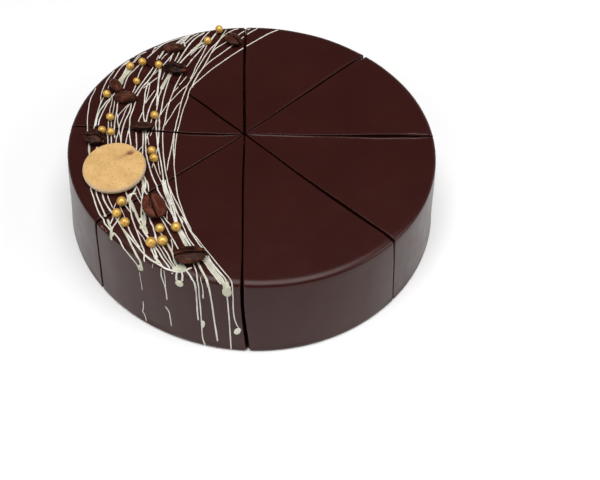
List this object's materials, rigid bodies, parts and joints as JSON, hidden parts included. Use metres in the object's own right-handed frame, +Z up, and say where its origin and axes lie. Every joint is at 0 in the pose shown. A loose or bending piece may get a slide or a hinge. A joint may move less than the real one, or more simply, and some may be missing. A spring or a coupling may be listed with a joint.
{
  "type": "tiramisu cake",
  "caption": "Round coffee mousse cake under dark chocolate glaze, cut into wedges that stand together, with white drizzle, coffee beans, gold pearls and a biscuit.",
  "frame": {"origin": "middle of the round foot, on the surface that the cake stands on", "axes": "+Z up out of the glazed top, -Y towards the front of the cake, +X to the right seen from the front"},
  "size_m": [0.2156, 0.2156, 0.0553],
  "materials": {
    "dark_glaze": "satin gloss dark chocolate glaze, maroon brown",
    "roasted_bean": "roasted coffee bean, dark brown with a dull oily sheen",
    "biscuit_crust": "dry baked tan crust with fine pores",
    "white_icing": "set off-white chocolate drizzle, soft gloss",
    "gold_pearl": "gold lustre on sugar, satin",
    "sponge": "open-crumb sponge",
    "mousse": "smooth set coffee mousse",
    "dark_crumb": "moist dark cocoa crumb"
  },
  "bodies": {
    "root": {"slice_01": "dark_glaze", "slice_02": "dark_glaze", "slice_03": "dark_glaze", "slice_04": "dark_glaze", "slice_05": "dark_glaze", "slice_06": "dark_glaze", "slice_07": "dark_glaze", "slice_08": "dark_glaze", "bean_01": "roasted_bean", "bean_02": "roasted_bean", "bean_03": "roasted_bean", "bean_04": "roasted_bean", "bean_05": "roasted_bean", "bean_06": "roasted_bean", "bean_07": "roasted_bean", "bean_08": "roasted_bean", "bean_09": "roasted_bean", "biscuit": "biscuit_crust"}
  },
  "joints": []
}
